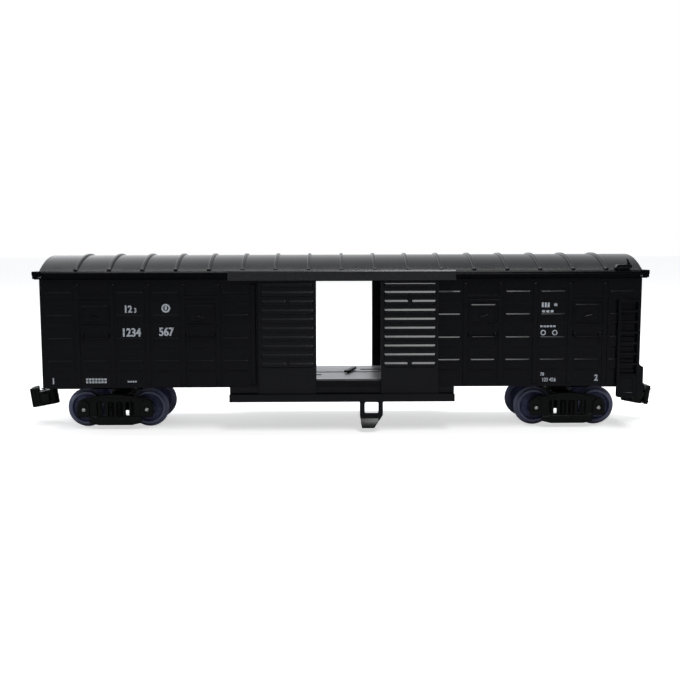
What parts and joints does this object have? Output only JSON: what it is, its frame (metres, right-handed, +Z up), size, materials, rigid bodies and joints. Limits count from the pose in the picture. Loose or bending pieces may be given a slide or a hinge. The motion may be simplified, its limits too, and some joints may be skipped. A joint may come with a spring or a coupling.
{
  "type": "model railway covered goods wagon",
  "caption": "HO scale bogie covered goods wagon with sliding side doors, arched ribbed roof, swivelling four-wheel bogies, knuckle couplers, corner ladders and a steel ballast floor.",
  "frame": {"origin": "centre of the footprint, on the surface under the wheel flanges", "axes": "+X along the wagon towards the end whose ladder is on the front side, +Z up, -Y the front side with the door step"},
  "size_m": [0.2036, 0.038, 0.0553],
  "materials": {
    "black_plastic": "semi-gloss moulded black plastic",
    "roof_plastic": "glossy moulded black plastic",
    "chassis_plastic": "satin moulded black plastic",
    "blued_steel": "blue-black turned steel",
    "bright_steel": "bright turned steel",
    "zinc_plate": "dull zinc-plated sheet"
  },
  "bodies": {
    "wagon": {"body_shell": "black_plastic", "roof": "roof_plastic", "underframe": "chassis_plastic", "ballast_strip_front": "zinc_plate", "ballast_strip_rear": "zinc_plate", "ballast_clip": "chassis_plastic", "door_sill_front": "black_plastic", "door_sill_rear": "black_plastic", "ladder_right_front": "black_plastic", "ladder_left_rear": "black_plastic", "roof_step_right_front": "black_plastic", "roof_step_left_rear": "black_plastic", "bogie_pivot_screw_left": "bright_steel", "bogie_pivot_screw_right": "bright_steel"},
    "front_left_door": {"door_front_left": "black_plastic"},
    "front_right_door": {"door_front_right": "black_plastic"},
    "rear_left_door": {"door_rear_left": "black_plastic"},
    "rear_right_door": {"door_rear_right": "black_plastic"},
    "left_bogie": {"bogie_frame_left": "chassis_plastic", "coupler_screw_left": "bright_steel"},
    "right_bogie": {"bogie_frame_right": "chassis_plastic", "coupler_screw_right": "bright_steel"},
    "left_outer_wheelset": {"axle_left_outer": "bright_steel", "wheel_left_outer_front": "blued_steel", "wheel_left_outer_rear": "blued_steel"},
    "left_inner_wheelset": {"axle_left_inner": "bright_steel", "wheel_left_inner_front": "blued_steel", "wheel_left_inner_rear": "blued_steel"},
    "right_inner_wheelset": {"axle_right_inner": "bright_steel", "wheel_right_inner_front": "blued_steel", "wheel_right_inner_rear": "blued_steel"},
    "right_outer_wheelset": {"axle_right_outer": "bright_steel", "wheel_right_outer_front": "blued_steel", "wheel_right_outer_rear": "blued_steel"},
    "left_coupler": {"coupler_head_left": "chassis_plastic", "knuckle_pin_left": "bright_steel"},
    "right_coupler": {"coupler_head_right": "chassis_plastic", "knuckle_pin_right": "bright_steel"},
    "left_knuckle": {"coupler_knuckle_left": "chassis_plastic"},
    "right_knuckle": {"coupler_knuckle_right": "chassis_plastic"}
  },
  "joints": [
    {"name": "door_front_left_slide", "type": "slide", "parent": "wagon", "child": "front_left_door", "axis": [1, 0, 0], "range_m": [-0.0087, 0.0078]},
    {"name": "door_front_right_slide", "type": "slide", "parent": "wagon", "child": "front_right_door", "axis": [1, 0, 0], "range_m": [-0.01185, 0.0046]},
    {"name": "door_rear_left_slide", "type": "slide", "parent": "wagon", "child": "rear_left_door", "axis": [1, 0, 0], "range_m": [-0.003, 0.0135]},
    {"name": "door_rear_right_slide", "type": "slide", "parent": "wagon", "child": "rear_right_door", "axis": [1, 0, 0], "range_m": [-0.0108, 0.0057]},
    {"name": "bogie_left_swivel", "type": "hinge", "parent": "wagon", "child": "left_bogie", "pos_m": [-0.07175, 0, 0.0118], "axis": [0, 0, 1], "range_deg": [-15, 15]},
    {"name": "bogie_right_swivel", "type": "hinge", "parent": "wagon", "child": "right_bogie", "pos_m": [0.07175, 0, 0.0118], "axis": [0, 0, 1], "range_deg": [-15, 15]},
    {"name": "wheelset_left_outer_spin", "type": "hinge", "parent": "left_bogie", "child": "left_outer_wheelset", "pos_m": [-0.0817, 0, 0.00625], "axis": [0, 1, 0], "continuous": true},
    {"name": "wheelset_left_inner_spin", "type": "hinge", "parent": "left_bogie", "child": "left_inner_wheelset", "pos_m": [-0.0618, 0, 0.00625], "axis": [0, 1, 0], "continuous": true},
    {"name": "wheelset_right_inner_spin", "type": "hinge", "parent": "right_bogie", "child": "right_inner_wheelset", "pos_m": [0.0618, 0, 0.00625], "axis": [0, 1, 0], "continuous": true},
    {"name": "wheelset_right_outer_spin", "type": "hinge", "parent": "right_bogie", "child": "right_outer_wheelset", "pos_m": [0.0817, 0, 0.00625], "axis": [0, 1, 0], "continuous": true},
    {"name": "coupler_left_swing", "type": "hinge", "parent": "left_bogie", "child": "left_coupler", "pos_m": [-0.0954, 0, 0.0109], "axis": [0, 0, 1], "range_deg": [-20, 20]},
    {"name": "coupler_right_swing", "type": "hinge", "parent": "right_bogie", "child": "right_coupler", "pos_m": [0.0954, 0, 0.0109], "axis": [0, 0, 1], "range_deg": [-20, 20]},
    {"name": "knuckle_left_open", "type": "hinge", "parent": "left_coupler", "child": "left_knuckle", "pos_m": [-0.09812, 0.0019, 0.0087], "axis": [-0.1392, 0, 0.9903], "range_deg": [-35, 0], "stiffness_Nm_per_rad": 0.00002},
    {"name": "knuckle_right_open", "type": "hinge", "parent": "right_coupler", "child": "right_knuckle", "pos_m": [0.09812, -0.0019, 0.0087], "axis": [0.1392, 0, 0.9903], "range_deg": [-35, 0], "stiffness_Nm_per_rad": 0.00002}
  ]
}
